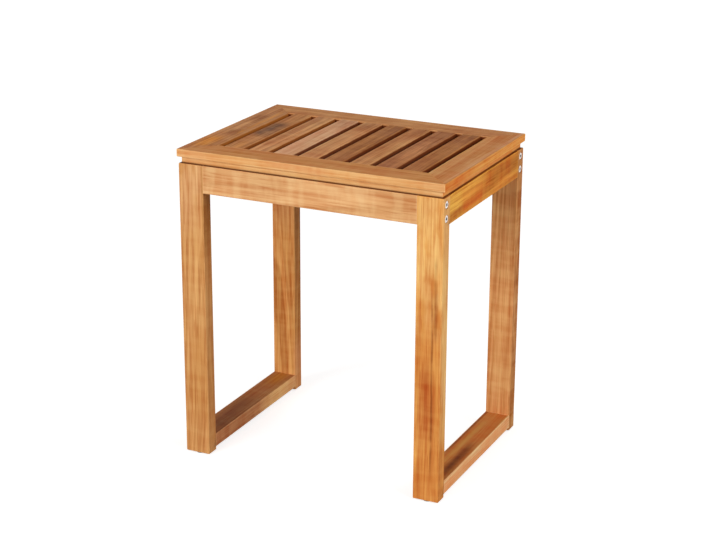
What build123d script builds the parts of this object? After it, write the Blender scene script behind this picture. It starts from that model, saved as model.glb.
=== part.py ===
from build123d import *
import os

# Bath stool in solid timber. A mitred, slatted seat panel rests on two loop-shaped side frames,
# which two long aprons join. X runs along the stool, Y from front to back and Z up.
# The origin is the middle of the footprint, on the floor. All sizes are in millimetres.

# Seat panel
seat_length = 396.0
seat_depth = 290.0
seat_height = 450.0
seat_thickness = 20.0
seat_border = 41.0
seat_overhang = 1.5
shadow_gap_height = 9.0
shadow_gap_depth = 5.0

# Seat slats and their tongues
slat_count = 8
slat_width = 28.0
slat_thickness = 14.0
slat_ease = 1.2
tongue_thickness = 6.0
tongue_length = 8.0

# Loose tongues across the mitres of the seat border
mitre_tongue_width = 16.0
mitre_tongue_length = 18.0
mitre_tongue_thickness = 5.0
mitre_tongue_setback = 32.0

# Timber of the side frames and the long aprons
stock_width = 37.5
stock_thickness = 20.0
apron_height = 39.0
floor_rail_rise = 4.5
edge_ease = 1.0
foot_chamfer = 1.0

# Tenons of the side frames
tenon_thickness = 9.0
rail_tenon_width = 26.0
rail_tenon_length = 12.0
apron_tenon_width = 27.0
apron_tenon_length = 5.5

# Glue and seating clearances of the timber joints
joint_fit = 0.1
joint_end_gap = 0.3

# Screws through the legs into the end grain of the long aprons
apron_screw_diameter = 6.0
apron_screw_length = 70.0
apron_screw_head_diameter = 10.0
apron_screw_head_height = 4.0
apron_screw_head_recess = 0.4
apron_screw_socket_width = 4.0
apron_screw_socket_depth = 2.4
apron_screw_spacing = 19.0

# Screws up through the side aprons into the seat border
seat_screw_diameter = 4.5
seat_screw_length = 35.0
seat_screw_grip = 20.0
seat_screw_head_diameter = 9.0
seat_screw_head_height = 2.8
seat_screw_socket_width = 3.0
seat_screw_socket_depth = 1.6
seat_screw_spacing = 150.0

# Both kinds of screw
screw_point_length = 5.0
screw_hole_clearance = 0.25
screw_thread_clearance = 0.05
screw_pocket_clearance = 0.5

# Round self-adhesive glides under the legs
glide_diameter = 16.0
glide_thickness = 2.0
glide_taper = 0.6

# Sizes that follow from those above
base_length = seat_length - 2 * seat_overhang
base_depth = seat_depth - 2 * seat_overhang
base_height = seat_height - seat_thickness
leg_x = (base_length - stock_width) / 2
leg_y = (base_depth - stock_thickness) / 2
leg_inner_x = base_length / 2 - stock_width
leg_inner_y = base_depth / 2 - stock_thickness
side_apron_x = (base_length - stock_thickness) / 2
apron_z = base_height - apron_height / 2
floor_rail_z = glide_thickness + floor_rail_rise + stock_thickness / 2
apron_screw_grip = stock_width - apron_screw_head_recess - apron_screw_head_height
apron_screw_seat_x = leg_inner_x + apron_screw_grip
apron_screw_levels = [apron_z - apron_screw_spacing / 2, apron_z + apron_screw_spacing / 2]
slat_length = seat_depth - 2 * seat_border
slat_gap = (seat_length - 2 * seat_border - slat_count * slat_width) / (slat_count + 1)
slat_pitch = slat_width + slat_gap
slat_z = seat_height - slat_thickness / 2
mitre_tongue_z = base_height + seat_thickness / 2
seat_screw_seat_z = base_height - seat_screw_grip
seat_screw_rows = [-seat_screw_spacing / 2, seat_screw_spacing / 2]

# Signs of the two sides (left, right) and the two ends (front, rear)
sides = {"left": -1, "right": 1}
ends = {"front": -1, "rear": 1}


def side_plane(x, y, z, side):
    """Plane at a point that faces along X to the given side, with its own Y upwards."""
    return Plane(origin=(x, y, z), x_dir=(0, side, 0), z_dir=(side, 0, 0))


def end_plane(x, y, z, end):
    """Plane at a point that faces along Y to the given end, with its own Y upwards."""
    return Plane(origin=(x, y, z), x_dir=(-end, 0, 0), z_dir=(0, end, 0))


def floor_plane(x, y, z):
    """Plane at a point that faces down to the floor."""
    return Plane(origin=(x, y, z), x_dir=(1, 0, 0), z_dir=(0, 0, -1))


def save(piece, name):
    """Label a finished piece and write it to its own STEP file."""
    piece.part.label = name
    export_step(piece.part, f"parts/{name}.step")


def make_leg(side, end):
    """Upright board of a side frame, with two blind mortises and two screw holes."""
    x = side * leg_x
    y = end * leg_y
    with BuildPart() as leg:
        with BuildSketch(Plane.XY.offset(glide_thickness)):
            with Locations((x, y)):
                Rectangle(stock_width, stock_thickness)
            chamfer(vertices(), edge_ease)
        extrude(amount=base_height - glide_thickness)
        chamfer(leg.faces().sort_by(Axis.Z)[0].edges(), foot_chamfer)

        # Mortise for the floor rail, lying flat
        with BuildSketch(end_plane(x, end * leg_inner_y, floor_rail_z, end)):
            Rectangle(rail_tenon_width + 2 * joint_fit, tenon_thickness + 2 * joint_fit)
        extrude(amount=rail_tenon_length + joint_end_gap, mode=Mode.SUBTRACT)

        # Mortise for the side apron, standing upright and kept short of the screws
        with BuildSketch(end_plane(side * side_apron_x, end * leg_inner_y, apron_z, end)):
            Rectangle(tenon_thickness + 2 * joint_fit, apron_tenon_width + 2 * joint_fit)
        extrude(amount=apron_tenon_length + joint_end_gap, mode=Mode.SUBTRACT)

        # Screw holes from the outer side, with a pocket for each head
        mouths = [side_plane(side * base_length / 2, y, level, side) for level in apron_screw_levels]
        with Locations(*mouths):
            CounterBoreHole(
                radius=apron_screw_diameter / 2 + screw_hole_clearance,
                counter_bore_radius=apron_screw_head_diameter / 2 + screw_pocket_clearance,
                counter_bore_depth=apron_screw_head_recess + apron_screw_head_height,
                depth=stock_width,
            )
    return leg


def make_floor_rail(side):
    """Bottom board of a side frame, lying flat between the legs, with a tenon at each end."""
    with BuildPart() as rail:
        with BuildSketch(end_plane(side * leg_x, 0, floor_rail_z, 1)):
            Rectangle(stock_width, stock_thickness)
            chamfer(vertices(), edge_ease)
        extrude(amount=leg_inner_y, both=True)
        with BuildSketch(end_plane(side * leg_x, 0, floor_rail_z, 1)):
            Rectangle(rail_tenon_width, tenon_thickness)
        extrude(amount=leg_inner_y + rail_tenon_length, both=True)
    return rail


def make_side_apron(side):
    """Top board of a side frame, on edge between the legs, with stub tenons and two screw pockets."""
    with BuildPart() as apron:
        with BuildSketch(end_plane(side * side_apron_x, 0, apron_z, 1)):
            Rectangle(stock_thickness, apron_height)
            chamfer(vertices(), edge_ease)
        extrude(amount=leg_inner_y, both=True)
        with BuildSketch(end_plane(side * side_apron_x, 0, apron_z, 1)):
            Rectangle(tenon_thickness, apron_tenon_width)
        extrude(amount=leg_inner_y + apron_tenon_length, both=True)

        # Screw holes from below, with a deep pocket so that a short screw reaches the seat
        pocket_z = base_height - apron_height
        mouths = [floor_plane(side * side_apron_x, row, pocket_z) for row in seat_screw_rows]
        with Locations(*mouths):
            CounterBoreHole(
                radius=seat_screw_diameter / 2 + screw_hole_clearance,
                counter_bore_radius=seat_screw_head_diameter / 2 + screw_pocket_clearance,
                counter_bore_depth=apron_height - seat_screw_grip,
                depth=apron_height,
            )
    return apron


def make_long_apron(end):
    """Front or rear board between the side frames, with pilot holes for the screws in its end grain."""
    y = end * leg_y
    bite = apron_screw_length - apron_screw_grip
    with BuildPart() as apron:
        with BuildSketch(side_plane(0, y, apron_z, 1)):
            Rectangle(stock_thickness, apron_height)
            chamfer(vertices(), edge_ease)
        extrude(amount=leg_inner_x, both=True)
        for side in sides.values():
            mouths = [side_plane(side * leg_inner_x, y, level, side) for level in apron_screw_levels]
            with Locations(*mouths):
                Hole(apron_screw_diameter / 2 + screw_thread_clearance, bite + joint_end_gap)
    return apron


def mitre_plane(side, end):
    """Plane of the mitre at one corner of the seat border, at the middle of its loose tongue."""
    step = mitre_tongue_setback / 2**0.5
    x = side * (seat_length / 2 - seat_border + step)
    y = end * (seat_depth / 2 - seat_border + step)
    return Plane(origin=(x, y, mitre_tongue_z), x_dir=(side, end, 0), z_dir=(side, -end, 0))


def make_seat_member(turn, length, depth, corners, screw_mouths):
    """One board of the mitred seat border, rebated under its outer edge and turned about the centre.

    It is drawn as the front board of a border of the given length and depth, then turned by its frame.
    A board without screws is an end board, which has the groove for the slat tongues.
    """
    frame = Plane.XY.rotated((0, 0, turn))
    section_plane = Plane(origin=(0, 0, 0), x_dir=frame.y_dir, z_dir=frame.x_dir)
    outer = -depth / 2
    inner = outer + seat_border
    with BuildPart() as member:
        with BuildSketch(section_plane):
            with BuildLine():
                Polyline(
                    (outer, seat_height),
                    (inner, seat_height),
                    (inner, base_height),
                    (outer + shadow_gap_depth, base_height),
                    (outer + shadow_gap_depth, base_height + shadow_gap_height),
                    (outer, base_height + shadow_gap_height),
                    close=True,
                )
            make_face()
            chamfer(vertices().group_by(Axis.X)[0], edge_ease)
            if screw_mouths:
                chamfer(vertices().group_by(Axis.X)[-1], slat_ease)
            else:
                with Locations((inner, slat_z)):
                    Rectangle(
                        2 * (tongue_length + joint_end_gap),
                        tongue_thickness + 2 * joint_fit,
                        mode=Mode.SUBTRACT,
                    )
        extrude(amount=length / 2, both=True)

        # Mitres: the plan of the board is a trapezium
        with BuildSketch(frame.offset(base_height)):
            with BuildLine():
                Polyline(
                    (-length / 2, outer),
                    (length / 2, outer),
                    (length / 2 - seat_border, inner),
                    (seat_border - length / 2, inner),
                    close=True,
                )
            make_face()
        extrude(amount=seat_thickness, mode=Mode.INTERSECT)

        # Pockets for the loose tongues
        for side, end in corners:
            with BuildSketch(mitre_plane(side, end)):
                Rectangle(mitre_tongue_width + 2 * joint_fit, mitre_tongue_thickness + 2 * joint_fit)
            extrude(amount=mitre_tongue_length / 2 + joint_end_gap, both=True, mode=Mode.SUBTRACT)

        # Pilot holes for the seat screws, from below
        if screw_mouths:
            with Locations(*screw_mouths):
                bite = seat_screw_length - seat_screw_grip
                Hole(seat_screw_diameter / 2 + screw_thread_clearance, bite + joint_end_gap)
    return member


def make_seat_end_member(end):
    """Front or rear board of the seat border, grooved along its inner edge for the slat tongues."""
    corners = [(side, end) for side in sides.values()]
    turn = 0 if end < 0 else 180
    return make_seat_member(turn, seat_length, seat_depth, corners, [])


def make_seat_side_member(side):
    """Left or right board of the seat border, bored below for the seat screws."""
    corners = [(side, end) for end in ends.values()]
    screw_mouths = [floor_plane(side * side_apron_x, row, base_height) for row in seat_screw_rows]
    return make_seat_member(90 * side, seat_depth, seat_length, corners, screw_mouths)


def make_slat(index):
    """Slat of the seat, flush with the border, with a tongue at each end."""
    x = (index - (slat_count - 1) / 2) * slat_pitch
    with BuildPart() as slat:
        with BuildSketch(end_plane(x, 0, slat_z, 1)):
            Rectangle(slat_width, slat_thickness)
            chamfer(vertices(), slat_ease)
        extrude(amount=slat_length / 2, both=True)
        with BuildSketch(end_plane(x, 0, slat_z, 1)):
            Rectangle(slat_width - 2 * slat_ease, tongue_thickness)
        extrude(amount=slat_length / 2 + tongue_length, both=True)
    return slat


def make_screw(diameter, length, head_diameter, head_height, socket_width, socket_depth):
    """Screw along Z with the seat of its head at the origin, its head above and its shank below."""
    with BuildPart() as screw:
        with BuildSketch(Plane.XZ):
            with BuildLine():
                Polyline(
                    (0, head_height),
                    (head_diameter / 2, head_height),
                    (head_diameter / 2, 0),
                    (diameter / 2, 0),
                    (diameter / 2, screw_point_length - length),
                    (0, -length),
                    close=True,
                )
            make_face()
        revolve(axis=Axis.Z)
        with BuildSketch(Plane.XY.offset(head_height)):
            RegularPolygon(socket_width / 2, 6, major_radius=False)
        extrude(amount=-socket_depth, mode=Mode.SUBTRACT)
    return screw


os.makedirs("parts", exist_ok=True)

# Side frames: legs, floor rails and side aprons
for side_name, side in sides.items():
    for end_name, end in ends.items():
        save(make_leg(side, end), f"{end_name}_{side_name}_leg")
    save(make_floor_rail(side), f"{side_name}_floor_rail")
    save(make_side_apron(side), f"{side_name}_side_apron")
    save(make_seat_side_member(side), f"seat_{side_name}_member")

# Boards that run along the stool
for end_name, end in ends.items():
    save(make_long_apron(end), f"{end_name}_apron")
    save(make_seat_end_member(end), f"seat_{end_name}_member")

# Slats, numbered from the left
for index in range(slat_count):
    save(make_slat(index), f"seat_slat_{index + 1}")

# Loose tongues, half in each board of a mitre
with BuildPart() as mitre_tongues:
    for side in sides.values():
        for end in ends.values():
            with BuildSketch(mitre_plane(side, end)):
                Rectangle(mitre_tongue_width, mitre_tongue_thickness)
            extrude(amount=mitre_tongue_length / 2, both=True)
save(mitre_tongues, "mitre_tongues")

# One screw of each kind
apron_screw = make_screw(
    apron_screw_diameter,
    apron_screw_length,
    apron_screw_head_diameter,
    apron_screw_head_height,
    apron_screw_socket_width,
    apron_screw_socket_depth,
)
seat_screw = make_screw(
    seat_screw_diameter,
    seat_screw_length,
    seat_screw_head_diameter,
    seat_screw_head_height,
    seat_screw_socket_width,
    seat_screw_socket_depth,
)

# One glide, on the floor
with BuildPart() as glide:
    Cone(
        bottom_radius=glide_diameter / 2 - glide_taper,
        top_radius=glide_diameter / 2,
        height=glide_thickness,
        align=(Align.CENTER, Align.CENTER, Align.MIN),
    )

# Screws and glides at their stations, each kind as separate solids under one name
apron_screw_stations = [
    side_plane(side * apron_screw_seat_x, end * leg_y, level, side)
    for side in sides.values()
    for end in ends.values()
    for level in apron_screw_levels
]
seat_screw_stations = [
    floor_plane(side * side_apron_x, row, seat_screw_seat_z)
    for side in sides.values()
    for row in seat_screw_rows
]
glide_stations = [(side * leg_x, end * leg_y, 0) for side in sides.values() for end in ends.values()]

with BuildPart() as apron_screws:
    with Locations(*apron_screw_stations):
        add(apron_screw.part)
save(apron_screws, "apron_screws")

with BuildPart() as seat_screws:
    with Locations(*seat_screw_stations):
        add(seat_screw.part)
save(seat_screws, "seat_screws")

with BuildPart() as foot_glides:
    with Locations(*glide_stations):
        add(glide.part)
save(foot_glides, "foot_glides")
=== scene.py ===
import logging
import math
from dataclasses import dataclass, field
from enum import Enum
from typing import Callable

import bmesh
import bpy
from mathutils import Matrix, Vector


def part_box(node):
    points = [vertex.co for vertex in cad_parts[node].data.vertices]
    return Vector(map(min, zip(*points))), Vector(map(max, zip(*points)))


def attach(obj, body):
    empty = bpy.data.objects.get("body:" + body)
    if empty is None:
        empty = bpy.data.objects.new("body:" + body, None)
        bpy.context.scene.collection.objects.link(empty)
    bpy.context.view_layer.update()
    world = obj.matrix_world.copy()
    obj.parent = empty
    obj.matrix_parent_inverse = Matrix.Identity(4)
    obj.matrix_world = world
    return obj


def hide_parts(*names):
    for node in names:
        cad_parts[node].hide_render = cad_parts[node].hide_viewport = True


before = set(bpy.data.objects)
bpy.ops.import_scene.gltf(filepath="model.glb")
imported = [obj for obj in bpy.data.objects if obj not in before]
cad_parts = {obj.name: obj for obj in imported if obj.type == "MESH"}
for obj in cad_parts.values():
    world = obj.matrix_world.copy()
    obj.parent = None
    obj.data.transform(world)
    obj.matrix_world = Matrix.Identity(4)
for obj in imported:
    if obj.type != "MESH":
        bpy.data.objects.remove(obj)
log = logging.getLogger("bath_stool")

# Slatted bath stool: boards with eased arrises, screws and glides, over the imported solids.
# X runs along the stool, Y from front to back and Z up, in metres.

Colour = tuple[float, float, float, float]
Point = tuple[float, float, float]
Socket = bpy.types.NodeSocket
FaceTest = Callable[[Vector, Vector], bool]
EdgeTest = Callable[[Vector, Vector], bool]

MM = 0.001
SIDES = {"left": -1, "right": 1}
ENDS = {"front": -1, "rear": 1}
HAIRLINE = 0.15 * MM
NEAR = 0.02 * MM


def srgb(red: int, green: int, blue: int) -> Colour:
    """Turn a colour as a screen shows it into the linear one that a shader takes.

    Args:
        red: Red, from 0 to 255.
        green: Green, from 0 to 255.
        blue: Blue, from 0 to 255.

    Returns:
        The linear colour, with full alpha.
    """
    shares = [level / 255 for level in (red, green, blue)]
    linear = [s / 12.92 if s <= 0.04045 else ((s + 0.055) / 1.055) ** 2.4 for s in shares]
    return (linear[0], linear[1], linear[2], 1.0)


class Grain(Enum):
    """Which way the grain of a board runs, as the turn from its own X to the stool's axes."""

    ALONG_STOOL = (0.0, 0.0, 0.0)
    FRONT_TO_BACK = (0.0, 0.0, math.pi / 2)
    UPRIGHT = (0.0, -math.pi / 2, 0.0)


class Lie(Enum):
    """The cross axis of a board on which a streak has its place."""

    Y = "Y"
    Z = "Z"


class NodeSketch:
    """Short calls that add nodes to one node tree."""

    def __init__(self, tree: bpy.types.NodeTree) -> None:
        """Keep the tree to draw in."""
        self.tree = tree

    def node(self, kind: str, inputs: dict | None = None, **settings: object) -> bpy.types.Node:
        """Add a node, set it up and join its inputs.

        Args:
            kind: The node's type name.
            inputs: Input name or place, with a value or the socket that feeds it.
            **settings: Attributes of the node.

        Returns:
            The new node.
        """
        made = self.tree.nodes.new(kind)
        for key, value in settings.items():
            setattr(made, key, value)
        for key, value in (inputs or {}).items():
            if isinstance(value, Socket):
                self.tree.links.new(value, made.inputs[key])
            else:
                made.inputs[key].default_value = value
        return made

    def math(self, operation: str, *values: float | Socket) -> Socket:
        """Return the result of a Math node on one to three values."""
        return self.node("ShaderNodeMath", dict(enumerate(values)), operation=operation).outputs[0]

    def vector(self, operation: str, *values: Point | Socket) -> Socket:
        """Return the vector result of a Vector Math node."""
        made = self.node("ShaderNodeVectorMath", dict(enumerate(values)), operation=operation)
        return made.outputs["Vector"]

    def split(self, vector: Socket) -> tuple[Socket, Socket, Socket]:
        """Return the X, Y and Z of a vector."""
        parts = self.node("ShaderNodeSeparateXYZ", {0: vector}).outputs
        return parts[0], parts[1], parts[2]

    def ramp(self, value: Socket, low: float, high: float, first: float = 0.0, last: float = 1.0) -> Socket:
        """Map a value smoothly from one range to another.

        Args:
            value: The value to map.
            low: Where the range begins.
            high: Where the range ends.
            first: Result at the beginning.
            last: Result at the end.

        Returns:
            The mapped value.
        """
        inputs = {"Value": value, "From Min": low, "From Max": high, "To Min": first, "To Max": last}
        return self.node("ShaderNodeMapRange", inputs, interpolation_type="SMOOTHSTEP").outputs[0]

    def mix(self, factor: float | Socket, first: Colour | Socket, second: Colour | Socket,
            blend: str = "MIX") -> Socket:
        """Mix two colours.

        Args:
            factor: Share of the second colour.
            first: The first colour.
            second: The second colour.
            blend: Name of the blend.

        Returns:
            The mixed colour.
        """
        inputs = {0: factor, 6: first, 7: second}
        made = self.node("ShaderNodeMix", inputs, data_type="RGBA", blend_type=blend)
        return made.outputs[2]

    def noise(self, place: Socket, stretch: Point, seed: float | Socket, detail: float = 2.0,
              roughness: float = 0.5) -> Socket:
        """Sample noise that is stretched by its own scale on each axis.

        Args:
            place: Where it is sampled.
            stretch: Cycles for each metre on X, Y and Z.
            seed: Which noise it is.
            detail: Octaves.
            roughness: How strong the fine octaves are.

        Returns:
            The noise value, from 0 to 1.
        """
        scaled = self.vector("MULTIPLY", place, stretch)
        inputs = {"Vector": scaled, "W": seed, "Scale": 1.0, "Detail": detail, "Roughness": roughness}
        return self.node("ShaderNodeTexNoise", inputs, noise_dimensions="4D").outputs[0]


class EffectGroup:
    """A shared effect as a node group, drawn once and placed in many materials."""

    def __init__(self, name: str, inputs: dict[str, float | Point], outputs: list[str]) -> None:
        """Open a new group with its sockets.

        Args:
            name: Name of the group.
            inputs: Input names, with a number or a vector as the value to start from.
            outputs: Names of the values that it puts out.
        """
        self.tree = bpy.data.node_groups.new(name, "ShaderNodeTree")
        for label, value in inputs.items():
            kind = "NodeSocketVector" if isinstance(value, tuple) else "NodeSocketFloat"
            socket = self.tree.interface.new_socket(label, in_out="INPUT", socket_type=kind)
            socket.default_value = value
        for label in outputs:
            self.tree.interface.new_socket(label, in_out="OUTPUT", socket_type="NodeSocketFloat")
        self.sketch = NodeSketch(self.tree)
        self.given = self.sketch.node("NodeGroupInput").outputs
        self.result = self.sketch.node("NodeGroupOutput").inputs

    def put_out(self, label: str, value: Socket) -> None:
        """Join a value to the output of that name."""
        self.tree.links.new(value, self.result[label])

    def place(self, sketch: NodeSketch, inputs: dict) -> bpy.types.bpy_prop_collection:
        """Place the group in a material and return its outputs.

        Args:
            sketch: The material's sketch.
            inputs: Values and sockets for the group's inputs.

        Returns:
            The outputs of the placed group.
        """
        return sketch.node("ShaderNodeGroup", inputs, node_tree=self.tree).outputs


def draw_timber_figure() -> EffectGroup:
    """Draw the figure of a sawn board: growth rings round a pith, fibres, pores, blotches and curl.

    Returns:
        The group, whose Place has X along the grain from the middle of the board, in metres.
    """
    inputs = {"Place": (0.0, 0.0, 0.0), "Pith": (0.0, 0.05, 0.01), "Seed": 0.0,
              "Ring Width": 0.004, "Wander": 0.006, "Lean": 0.02}
    group = EffectGroup("timber_figure", inputs, ["Rings", "Fibre", "Pores", "Blotch", "Curl"])
    sketch, given = group.sketch, group.given
    place, seed = given["Place"], given["Seed"]

    # The pith runs nearly along the board, so the rings it leaves on a face are long arches
    along, _, _ = sketch.split(place)
    lean = sketch.node("ShaderNodeCombineXYZ", {1: sketch.math("MULTIPLY", along, given["Lean"])})
    from_pith = sketch.vector("SUBTRACT", sketch.vector("SUBTRACT", place, given["Pith"]), lean.outputs[0])
    across = sketch.vector("MULTIPLY", from_pith, (0.0, 1.0, 1.0))
    radius = sketch.node("ShaderNodeVectorMath", {0: across}, operation="LENGTH").outputs["Value"]
    sway = sketch.noise(place, (4.0, 22.0, 22.0), seed, 2.0)
    shift = sketch.math("MULTIPLY", sketch.math("SUBTRACT", sway, 0.5), given["Wander"])
    year = sketch.math("DIVIDE", sketch.math("ADD", radius, shift), given["Ring Width"])
    count = sketch.math("ADD", year, sketch.math("MULTIPLY", seed, 31.7))
    bands = {"W": count, "Scale": 1.0, "Detail": 3.0, "Roughness": 0.55}
    rings = sketch.node("ShaderNodeTexNoise", bands, noise_dimensions="1D").outputs[0]
    group.put_out("Rings", sketch.ramp(rings, 0.3, 0.72))

    coarse = sketch.noise(place, (7.0, 230.0, 230.0), seed, 2.0)
    fine = sketch.noise(place, (14.0, 700.0, 700.0), seed, 3.0, 0.6)
    fibre = sketch.math("MULTIPLY", sketch.math("ADD", coarse, fine), 0.5)
    group.put_out("Fibre", sketch.ramp(fibre, 0.38, 0.62))
    dashes = sketch.noise(place, (22.0, 480.0, 480.0), seed, 1.0)
    group.put_out("Pores", sketch.ramp(dashes, 0.6, 0.7))
    group.put_out("Blotch", sketch.ramp(sketch.noise(place, (9.0, 30.0, 30.0), seed, 3.0), 0.4, 0.66))
    ripple = sketch.noise(place, (75.0, 20.0, 20.0), seed, 2.0)
    group.put_out("Curl", sketch.ramp(ripple, 0.35, 0.65))
    return group


def draw_board_arris() -> EffectGroup:
    """Draw the mask of a board's long edges, where handling has rubbed the finish thin and a painted highlight
    lies.

    Returns:
        The group, which puts out 1 on an edge and 0 a Reach away from it.
    """
    inputs = {"Place": (0.0, 0.0, 0.0), "Middle": (0.0, 0.0, 0.0), "Half Size": (1.0, 1.0, 1.0),
              "Reach": 0.002, "Seed": 0.0}
    group = EffectGroup("board_arris", inputs, ["Arris"])
    sketch, given = group.sketch, group.given
    out = sketch.vector("ABSOLUTE", sketch.vector("SUBTRACT", given["Place"], given["Middle"]))
    depths = sketch.split(sketch.vector("SUBTRACT", given["Half Size"], out))
    near = []
    for depth in depths:
        share = sketch.math("DIVIDE", depth, given["Reach"])
        near.append(sketch.ramp(share, 0.0, 1.0, 1.0, 0.0))
    pairs = [sketch.math("MULTIPLY", near[i], near[i - 1]) for i in range(3)]
    total = sketch.math("ADD", sketch.math("ADD", pairs[0], pairs[1]), pairs[2])
    patchy = sketch.ramp(sketch.noise(given["Place"], (40.0, 40.0, 40.0), given["Seed"]), 0.3, 0.6, 0.45, 1.0)
    group.put_out("Arris", sketch.math("MINIMUM", sketch.math("MULTIPLY", total, patchy), 1.0))
    return group


def draw_grain_and_shade_streak() -> EffectGroup:
    """Draw one dark streak that wanders along a board, for streaks of the grain and for painted shade.

    Returns:
        The group, which puts out the streak's mask from the place across the board.
    """
    inputs = {"Place": (0.0, 0.0, 0.0), "Across": 0.0, "Line": 0.0, "Width": 0.002,
              "Begin": -1.0, "End": 1.0, "Fade": 0.02, "Sway": 0.004, "Broken": 1.0, "Seed": 0.0}
    group = EffectGroup("grain_and_shade_streak", inputs, ["Streak"])
    sketch, given = group.sketch, group.given
    wave = sketch.noise(given["Place"], (7.0, 5.0, 5.0), given["Seed"], 2.0)
    moved = sketch.math("MULTIPLY", sketch.math("SUBTRACT", wave, 0.5), given["Sway"])
    offset = sketch.math("SUBTRACT", sketch.math("ADD", given["Across"], moved), given["Line"])
    share = sketch.math("DIVIDE", sketch.math("ABSOLUTE", offset), given["Width"])
    core = sketch.ramp(share, 0.0, 1.0, 1.0, 0.0)
    gaps = sketch.ramp(sketch.noise(given["Place"], (22.0, 60.0, 60.0), given["Seed"], 3.0), 0.3, 0.6, 1.0, 0.0)
    whole = sketch.math("SUBTRACT", 1.0, sketch.math("MULTIPLY", gaps, given["Broken"]))
    along, _, _ = sketch.split(given["Place"])
    past = sketch.math("DIVIDE", sketch.math("SUBTRACT", along, given["Begin"]), given["Fade"])
    left = sketch.math("DIVIDE", sketch.math("SUBTRACT", given["End"], along), given["Fade"])
    reach = sketch.ramp(sketch.math("MINIMUM", past, left), 0.0, 1.0)
    group.put_out("Streak", sketch.math("MULTIPLY", sketch.math("MULTIPLY", core, whole), reach))
    return group


def draw_slot_shade() -> EffectGroup:
    """Draw the mask of the slot walls below their lit lip, where painted shade stands for the shadow in the
    slots.

    Returns:
        The group, which puts out 1 on the walls of the opening below the lip, and how deep they lie.
    """
    inputs = {"Place": (0.0, 0.0, 0.0), "Opening": (0.1, 0.1, 1.0), "Lip": 1.0, "Seed": 0.0}
    group = EffectGroup("slot_shade", inputs, ["Shade", "Deep"])
    sketch, given = group.sketch, group.given
    beyond = sketch.vector("SUBTRACT", sketch.vector("ABSOLUTE", given["Place"]), given["Opening"])
    beyond_x, beyond_y, _ = sketch.split(beyond)
    inside = sketch.ramp(sketch.math("MAXIMUM", beyond_x, beyond_y), 0.5 * MM, 1.5 * MM, 1.0, 0.0)
    _, _, height = sketch.split(given["Place"])
    uneven = sketch.noise(given["Place"], (60.0, 60.0, 60.0), given["Seed"], 2.0)
    depth = sketch.math("SUBTRACT", given["Lip"], height)
    depth = sketch.math("ADD", depth, sketch.math("MULTIPLY", sketch.math("SUBTRACT", uneven, 0.5), 2 * MM))
    group.put_out("Shade", sketch.math("MULTIPLY", inside, sketch.ramp(depth, 0.0, 1.6 * MM)))
    group.put_out("Deep", sketch.ramp(depth, 1.5 * MM, 8.0 * MM))
    return group


def draw_fine_scuffs() -> EffectGroup:
    """Draw fine scuffs, for the sheen of wood, metal and plastic alike.

    Returns:
        The group, which puts out a value around 0.5.
    """
    group = EffectGroup("fine_scuffs", {"Place": (0.0, 0.0, 0.0), "Seed": 0.0}, ["Scuffs"])
    sketch, given = group.sketch, group.given
    broad = sketch.noise(given["Place"], (18.0, 18.0, 18.0), given["Seed"], 2.0)
    fine = sketch.noise(given["Place"], (900.0, 900.0, 900.0), given["Seed"], 3.0, 0.6)
    group.put_out("Scuffs", sketch.math("MULTIPLY", sketch.math("ADD", broad, fine), 0.5))
    return group


@dataclass(frozen=True)
class Effects:
    """The node groups that the materials share."""

    figure: EffectGroup = field(default_factory=draw_timber_figure)
    arris: EffectGroup = field(default_factory=draw_board_arris)
    streak: EffectGroup = field(default_factory=draw_grain_and_shade_streak)
    slot: EffectGroup = field(default_factory=draw_slot_shade)
    scuffs: EffectGroup = field(default_factory=draw_fine_scuffs)


@dataclass(frozen=True)
class Tone:
    """Colours of one kind of board: between its rings, in them, and where it is blotched."""

    pale: Colour
    deep: Colour
    blotch: Colour


STRAW = Tone(srgb(243, 188, 130), srgb(207, 145, 88), srgb(215, 151, 96))
WHEAT = Tone(srgb(251, 202, 138), srgb(225, 165, 98), srgb(231, 163, 106))
HONEY = Tone(srgb(233, 175, 109), srgb(195, 129, 70), srgb(211, 146, 80))
AMBER = Tone(srgb(246, 178, 94), srgb(200, 112, 42), srgb(213, 123, 50))
RUSSET = Tone(srgb(243, 182, 109), srgb(201, 134, 69), srgb(222, 155, 85))
BISCUIT = Tone(srgb(240, 178, 115), srgb(204, 135, 74), srgb(218, 151, 88))
ORANGE = Tone(srgb(255, 190, 82), srgb(194, 107, 32), srgb(239, 114, 36))
MARIGOLD = Tone(srgb(255, 187, 94), srgb(223, 135, 55), srgb(241, 149, 66))
FAWN = Tone(srgb(234, 171, 110), srgb(174, 112, 66), srgb(196, 123, 72))
TAWNY = Tone(srgb(205, 139, 80), srgb(147, 87, 48), srgb(170, 99, 52))
ROSE = Tone(srgb(249, 202, 154), srgb(210, 153, 110), srgb(229, 163, 121))
WALNUT = Tone(srgb(217, 147, 94), srgb(153, 95, 55), srgb(176, 109, 66))
PEACH = Tone(srgb(243, 184, 123), srgb(186, 122, 75), srgb(209, 133, 82))
IVORY = Tone(srgb(255, 216, 156), srgb(242, 167, 108), srgb(255, 181, 118))
CREAM = Tone(srgb(246, 192, 134), srgb(214, 146, 92), srgb(232, 160, 100))
DRY = Tone(srgb(206, 170, 128), srgb(178, 136, 94), srgb(190, 150, 108))
# Painted shade: the dark line at the foot of the shadow gap, and the deep part of some slot walls.
SHADE_BROWN = srgb(84, 42, 14)
# Painted shade on the slot walls: the lighter colours just below the lip, the darker ones deeper down.
SLOT_SHADE_LIGHT = srgb(184, 106, 36)
SLOT_SHADE_AMBER = srgb(160, 86, 28)
SLOT_SHADE_DARK = srgb(114, 50, 14)
SLOT_SHADE_BLACK = srgb(62, 24, 6)
# Painted shade: upper tint of the legs and aprons, whose only upward faces are the ledges in the shadow gap
# under the seat.
LEDGE_SHADE = (0.3, 0.2, 0.12, 1.0)
SLOT_OPENING = (157 * MM, 104 * MM, 1.0)


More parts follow.
